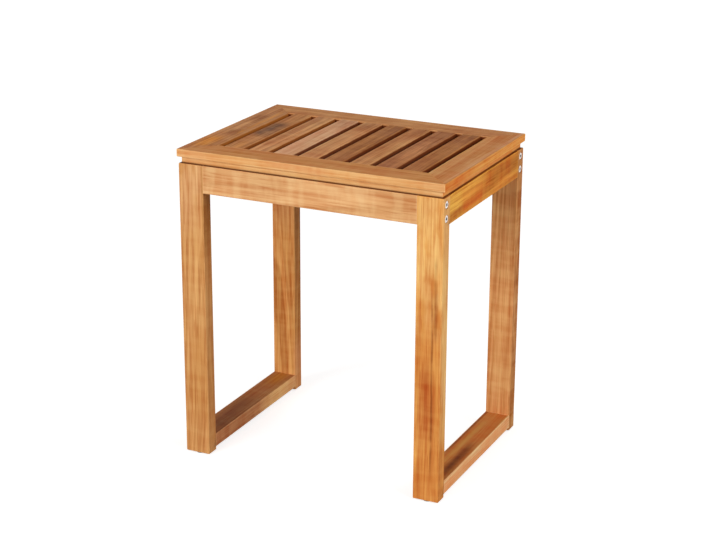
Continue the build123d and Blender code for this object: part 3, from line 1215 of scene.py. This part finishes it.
@dataclass
class Studio:
    """White floor and backdrop, soft lamps and the camera.

    Attributes:
        surround: Strength of the light from all round.
        floor_colour: Colour of the floor.
        floor_lift: How much brighter the camera sees the floor round the stool.
        camera_place: Where the camera stands.
        heading: Its turn from the stool's Y, towards the left, in degrees.
        dip: How far it looks down, in degrees.
        roll: Its roll in degrees.
        focal_pixels: Focal length in pixels of the image.
        image_width: Width of the image in pixels.
    """

    surround: float = 0.28
    floor_colour: Colour = (0.6, 0.6, 0.6, 1.0)
    floor_lift: float = 0.72
    camera_place: Point = (1.0195, -2.12269, 1.06497)
    heading: float = 25.5
    dip: float = 18.84
    roll: float = -0.26
    focal_pixels: float = 1754.46
    image_width: int = 716

    def build(self) -> None:
        """Set up the whole studio."""
        self.build_floor()
        self.light_world()
        self.hang_lamp("key_lamp", (-1.9, -4.4, 2.0), 2.4, 152.0)
        self.hang_lamp("side_lamp", (3.6, -0.9, 2.6), 2.2, 86.0)
        self.place_camera()
        bpy.context.scene.view_settings.view_transform = "Standard"

    def seen_directly(self, sketch: NodeSketch) -> Socket:
        """Find where the background is seen by the camera, or in or through a shiny surface.

        Args:
            sketch: The sketch of the background's own nodes.

        Returns:
            1 for such a ray, and 0 for one that only lights the stool.
        """
        ray = sketch.node("ShaderNodeLightPath").outputs
        mirrored = sketch.math("MAXIMUM", ray["Is Glossy Ray"], ray["Is Transmission Ray"])
        return sketch.math("MAXIMUM", ray["Is Camera Ray"], mirrored)

    def build_floor(self) -> None:
        """Lay a wide floor that keeps the stool's shadow and looks nearly white."""
        bpy.ops.object.select_all(action="DESELECT")
        bpy.ops.mesh.primitive_plane_add(size=60.0, location=(0.0, 0.0, 0.0))
        floor = bpy.context.active_object
        floor.name = "studio_floor"
        made = bpy.data.materials.new("studio_floor_paint")
        made.use_nodes = True
        sketch = NodeSketch(made.node_tree)
        shader = made.node_tree.nodes["Principled BSDF"]
        shader.inputs["Base Color"].default_value = self.floor_colour
        shader.inputs["Roughness"].default_value = 0.9
        shader.inputs["Specular IOR Level"].default_value = 0.0
        shader.inputs["Emission Color"].default_value = (1.0, 1.0, 1.0, 1.0)
        place = sketch.node("ShaderNodeTexCoord").outputs["Object"]
        away = sketch.node("ShaderNodeVectorMath", {0: place}, operation="LENGTH").outputs["Value"]
        white = sketch.ramp(away, 1.2, 3.5, self.floor_lift, 1.0)
        lift = sketch.math("MULTIPLY", self.seen_directly(sketch), white)
        sketch.tree.links.new(lift, shader.inputs["Emission Strength"])
        floor.data.materials.append(made)

    def light_world(self) -> None:
        """Surround the stool with even light, behind a background that is seen as white."""
        world = bpy.data.worlds.new("studio_world")
        bpy.context.scene.world = world
        world.use_nodes = True
        sketch = NodeSketch(world.node_tree)
        backdrop = world.node_tree.nodes["Background"]
        lift = sketch.math("MULTIPLY", self.seen_directly(sketch), 1.0 - self.surround)
        sketch.tree.links.new(sketch.math("ADD", lift, self.surround), backdrop.inputs["Strength"])
        backdrop.inputs["Color"].default_value = (1.0, 1.0, 1.0, 1.0)

    def hang_lamp(self, name: str, place: Point, size: float, power: float) -> None:
        """Hang a square soft lamp that faces the middle of the stool.

        Args:
            name: Name of the lamp.
            place: Where it hangs.
            size: Side of the lamp in metres.
            power: Power in watts.
        """
        bpy.ops.object.light_add(type="AREA", location=place)
        lamp = bpy.context.active_object
        lamp.name = name
        lamp.data.shape = "SQUARE"
        lamp.data.size = size
        lamp.data.energy = power
        aim = Vector((0.0, 0.0, 0.22)) - Vector(place)
        lamp.rotation_euler = aim.to_track_quat("-Z", "Y").to_euler()

    def place_camera(self) -> None:
        """Place the camera at the photograph's viewing angle."""
        bpy.ops.object.camera_add(location=self.camera_place)
        camera = bpy.context.active_object
        camera.name = "studio_camera"
        tilt = math.radians(90.0 - self.dip)
        camera.rotation_mode = "XYZ"
        camera.rotation_euler = (tilt, 0.0, math.radians(self.heading))
        camera.rotation_euler.rotate_axis("Z", math.radians(-self.roll))
        camera.data.sensor_width = 36.0
        camera.data.lens = self.focal_pixels / self.image_width * camera.data.sensor_width
        camera.data.clip_start = 0.05
        camera.data.clip_end = 100.0
        bpy.context.scene.camera = camera


def screw_stations(spacing: float, recess: float, head_height: float) -> list[tuple[Vector, Vector]]:
    """Find the seats of the screws that go through the legs into the long aprons.

    Args:
        spacing: Height between the two screws of a leg.
        recess: How deep the heads lie.
        head_height: Height of a head.

    Returns:
        The seat of each head, with the way that it faces.
    """
    stations = []
    for side, sign in SIDES.items():
        for end in ENDS:
            low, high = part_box(f"{end}_{side}_leg")
            apron_low, apron_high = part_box(f"{end}_apron")
            outer = high.x if sign > 0 else low.x
            middle = (apron_low.z + apron_high.z) / 2
            for level in (middle - spacing / 2, middle + spacing / 2):
                seat = Vector((outer - sign * (recess + head_height), (low.y + high.y) / 2, level))
                stations.append((seat, Vector((sign, 0.0, 0.0))))
    return stations


def seat_screw_stations(spacing: float, grip: float) -> list[tuple[Vector, Vector]]:
    """Find the seats of the screws that go up through the side aprons.

    Args:
        spacing: Distance between the two screws of an apron.
        grip: Thickness of wood above a head.

    Returns:
        The seat of each head, with the way that it faces.
    """
    stations = []
    for side in SIDES:
        low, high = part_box(f"{side}_side_apron")
        for row in (-spacing / 2, spacing / 2):
            seat = Vector(((low.x + high.x) / 2, row, high.z - grip))
            stations.append((seat, Vector((0.0, 0.0, -1.0))))
    return stations


def side_frames() -> list[SideFrame]:
    """Choose the timber of the two side frames.

    Returns:
        The left and the right frame.
    """
    up, deep = Grain.UPRIGHT, Grain.FRONT_TO_BACK
    bleached = Streak(Lie.Z, 0.0, 0.06, 0.6, srgb(246, 194, 140), 0.09, fade=0.08)
    gilded = Streak(Lie.Z, 0.0, 0.06, 0.9, srgb(255, 206, 128), 0.0, fade=0.06)
    knots = Streak(Lie.Z, -0.0095, 0.0045, 0.45, srgb(132, 62, 24), 0.01, 0.14, sway=0.012)
    heart = Streak(Lie.Z, -0.0065, 0.0026, 0.8, srgb(140, 66, 24), -0.2, 0.1, 0.06, 0.012)
    flame = Streak(Lie.Z, 0.003, 0.018, 0.95, srgb(194, 92, 34), -0.145, 0.0, 0.05, 0.01, 0.3)
    sapwood = Streak(Lie.Z, -0.02, 0.005, 1.0, srgb(255, 208, 134), -0.15, fade=0.08, sway=0.001)
    rust = Streak(Lie.Z, -0.02, 0.004, 1.0, srgb(168, 90, 20), sway=0.001)
    dusk = Streak(Lie.Y, 0.002, 0.03, 0.8, srgb(156, 98, 66), -0.14, 0.045, 0.06, 0.01, 0.3)
    # Painted shade on the upper part of the front left leg's inner face, next to the aprons.
    corner = Streak(Lie.Z, -0.02, 0.005, 1.0, srgb(175, 115, 46), 0.07, fade=0.06, sway=0.001, broken=0.3)
    dim_top = Streak(Lie.Z, 0.0, 0.06, 0.3, srgb(176, 112, 90), 0.02, fade=0.07, broken=0.2)
    blush = Streak(Lie.Z, -0.02, 0.006, 0.6, srgb(250, 178, 128), -0.25, -0.11, 0.05, 0.001, 0.3)
    tan_edge = Streak(Lie.Y, -0.0187, 0.007, 0.7, srgb(176, 104, 62), -0.2, 0.05, 0.08, 0.003, 0.3)
    amber_end = Streak(Lie.Y, 0.002, 0.02, 0.95, srgb(255, 184, 76), 0.05, fade=0.05, sway=0.006, broken=0.25)
    pale_edge = Streak(Lie.Y, -0.019, 0.009, 0.8, srgb(252, 206, 136), 0.0, 0.13, 0.05, 0.004, 0.4)
    golden = Streak(Lie.Y, 0.0065, 0.0075, 1.0, srgb(255, 214, 140), -0.12, 0.1, 0.04, 0.004, 0.5)
    ember = Streak(Lie.Y, -0.007, 0.011, 1.0, srgb(128, 62, 26), -0.14, 0.03, 0.06, 0.004, 0.3)
    char = Streak(Lie.Y, 0.0165, 0.004, 0.8, srgb(150, 80, 40), -0.06, fade=0.05, sway=0.003, broken=0.4)
    blaze = Streak(Lie.Z, -0.009, 0.012, 0.75, srgb(230, 96, 24), -0.09, 0.0, 0.03, 0.008, 0.3)
    singed = Streak(Lie.Z, 0.004, 0.022, 0.45, srgb(176, 98, 34), 0.075, fade=0.04, sway=0.01, broken=0.3)
    # The upper tints here are painted shade: on the tops of the floor rails, and on the ledges of legs and
    # aprons in the shadow gap.
    left = SideFrame(
        "left",
        {"front": TimberFinish(up, HONEY, 1.3, pith=(0.0, 0.06, -0.03), ring_width=0.003, wander=0.005,
                               contrast=0.8, upper=LEDGE_SHADE, streaks=(bleached, corner)),
         "rear": TimberFinish(up, RUSSET, 2.1, pith=(0.0, 0.05, 0.02), contrast=1.3, fibre=1.0, upper=LEDGE_SHADE,
                              streaks=(dim_top, blush))},
        TimberFinish(deep, CREAM, 3.7, pith=(0.0, 0.02, 0.05), upper=(0.5, 0.4, 0.33, 1.0),
                     streaks=(dusk, tan_edge, amber_end, pale_edge)),
        TimberFinish(deep, HONEY, 4.9, pith=(0.0, 0.05, 0.02), upper=LEDGE_SHADE),
    )
    right = SideFrame(
        "right",
        {"front": TimberFinish(up, AMBER, 5.2, pith=(0.0, 0.05, 0.0), contrast=0.5, upper=LEDGE_SHADE,
                               streaks=(gilded, flame, sapwood, heart, knots)),
         "rear": TimberFinish(up, BISCUIT, 6.4, pith=(0.0, -0.04, 0.03), curl=0.26, upper=LEDGE_SHADE,
                              streaks=(rust,))},
        TimberFinish(deep, IVORY, 7.6, pith=(0.0, 0.0, 0.04), upper=(0.56, 0.38, 0.21, 1.0),
                     streaks=(golden, ember, char)),
        TimberFinish(deep, ORANGE, 8.8, pith=(0.0, 0.04, 0.01), contrast=0.9, blotch=0.5, upper=LEDGE_SHADE,
                     streaks=(blaze, singed)),
    )
    return [left, right]


def seat_panel() -> SeatPanel:
    """Choose the timber of the seat.

    Returns:
        The seat panel.
    """
    along, deep = Grain.ALONG_STOOL, Grain.FRONT_TO_BACK
    gap_floor, lip = 430.2 * MM, 449.3 * MM
    glow = Streak(Lie.Y, 0.004, 0.02, 1.0, srgb(240, 158, 70), -0.13, -0.045, 0.03)
    ember = Streak(Lie.Y, -0.002, 0.018, 1.0, srgb(140, 76, 42), -0.075, 0.0, 0.03, 0.02)
    shade = Streak(Lie.Y, 0.0, 0.014, 0.9, srgb(150, 84, 42), 0.02, 0.09, 0.03, 0.02)
    ribbon = Streak(Lie.Y, -0.013, 0.0045, 0.9, srgb(244, 172, 84), -0.05, 0.12, 0.04, 0.02)
    # A dark patch on the first slat: partly the board's own tone, partly a painted shadow.
    patch_and_shadow = Streak(Lie.Y, 0.002, 0.024, 1.0, srgb(108, 72, 52), -0.045, 0.06, 0.03, 0.01, 0.7)
    # Painted shade over the rear part of the slats, from the second slat on.
    wear_and_shade = Streak(Lie.Y, 0.0, 0.03, 0.55, srgb(140, 84, 48), 0.035, fade=0.05, sway=0.01)
    honeyed = Streak(Lie.Y, -0.003, 0.011, 0.5, srgb(240, 164, 84), -0.2, -0.06, 0.03, 0.006, 0.4)
    scorched = Streak(Lie.Y, -0.0205, 0.0035, 0.55, srgb(226, 116, 44), -0.2, -0.03, 0.05, 0.002, 0.4)
    fringe = Streak(Lie.Y, -0.0165, 0.006, 0.9, srgb(250, 182, 104))
    # The upper tints of the border boards are painted shade and light on their top faces.
    members = {
        "front": TimberFinish(along, WHEAT, 10.1, pith=(0.0, 0.02, 0.05), upper=(0.745, 0.6, 0.48, 1.0),
                              gap_shade_line=gap_floor, slot_lip=lip),
        "rear": TimberFinish(along, FAWN, 11.4, pith=(0.0, 0.01, 0.05), gap_shade_line=gap_floor, slot_lip=lip,
                             slot_shade_top=SLOT_SHADE_DARK, slot_shade_deep=SLOT_SHADE_BLACK),
        "left": TimberFinish(deep, FAWN, 12.7, pith=(0.0, 0.015, 0.05), upper=(0.94, 0.94, 0.98, 1.0),
                             gap_shade_line=gap_floor, slot_lip=lip,
                             streaks=(glow, ember, shade, ribbon)),
        "right": TimberFinish(deep, MARIGOLD, 13.9, pith=(0.0, -0.01, 0.05), upper=(0.755, 0.84, 1.42, 1.0),
                              gap_shade_line=gap_floor, slot_lip=lip, streaks=(fringe, scorched)),
    }
    tones = [FAWN, PEACH, ROSE, PEACH, TAWNY, FAWN, WALNUT, TAWNY]
    slats = [
        TimberFinish(deep, tone, 20.0 + 1.7 * number, pith=(0.0, 0.008 * (number % 3), 0.045), slot_lip=lip,
                     slot_shade_top=SLOT_SHADE_AMBER if number < 2 else SLOT_SHADE_DARK, slot_shade_deep=SLOT_SHADE_BLACK,
                     streaks=(patch_and_shadow, honeyed) if number == 0 else (wear_and_shade,))
        for number, tone in enumerate(tones)
    ]
    return SeatPanel(members, slats)


def main() -> None:
    """Build the stool piece by piece, then its studio."""
    logging.basicConfig(level=logging.INFO, format="%(name)s: %(message)s")
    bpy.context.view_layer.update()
    effects = Effects()
    apron_screw = ScrewPlan(6.0 * MM, 70.0 * MM, 10.0 * MM, 4.0 * MM, 4.0 * MM, 2.4 * MM)
    seat_screw = ScrewPlan(4.5 * MM, 35.0 * MM, 9.0 * MM, 2.8 * MM, 3.0 * MM, 1.6 * MM)
    bright_zinc = SteelFinish("bright_zinc", srgb(250, 240, 234), srgb(222, 212, 206), 0.4)
    yellow_zinc = SteelFinish("yellow_zinc", srgb(214, 208, 190), srgb(166, 158, 136), 0.9)
    apron_stations = screw_stations(19.0 * MM, 0.4 * MM, apron_screw.head_height)
    seat_stations = seat_screw_stations(150.0 * MM, 20.0 * MM)
    for side_frame in side_frames():
        side_frame.build(effects, [s for s, _ in apron_stations], [s for s, _ in seat_stations])
    mottled = TimberFinish(Grain.ALONG_STOOL, STRAW, 15.5, pith=(0.0, 0.07, 0.01), contrast=0.6, curl=0.3,
                           upper=LEDGE_SHADE)
    LongApron("front", mottled).build(effects)
    LongApron("rear", TimberFinish(Grain.ALONG_STOOL, HONEY, 16.6, upper=LEDGE_SHADE)).build(effects)
    seat_panel().build(effects)
    ScrewSet("apron_screws", "apron_screw_steel", apron_screw, bright_zinc, apron_stations).build(effects)
    ScrewSet("seat_screws", "seat_screw_steel", seat_screw, yellow_zinc, seat_stations).build(effects)
    FootGlides(GlideFinish("black_glide", srgb(38, 38, 40), srgb(92, 92, 94), 0.2)).build(effects)
    MitreTongues(TimberFinish(Grain.ALONG_STOOL, DRY, 17.2)).build(effects)
    Studio().build()


if __name__ == "__main__":
    main()
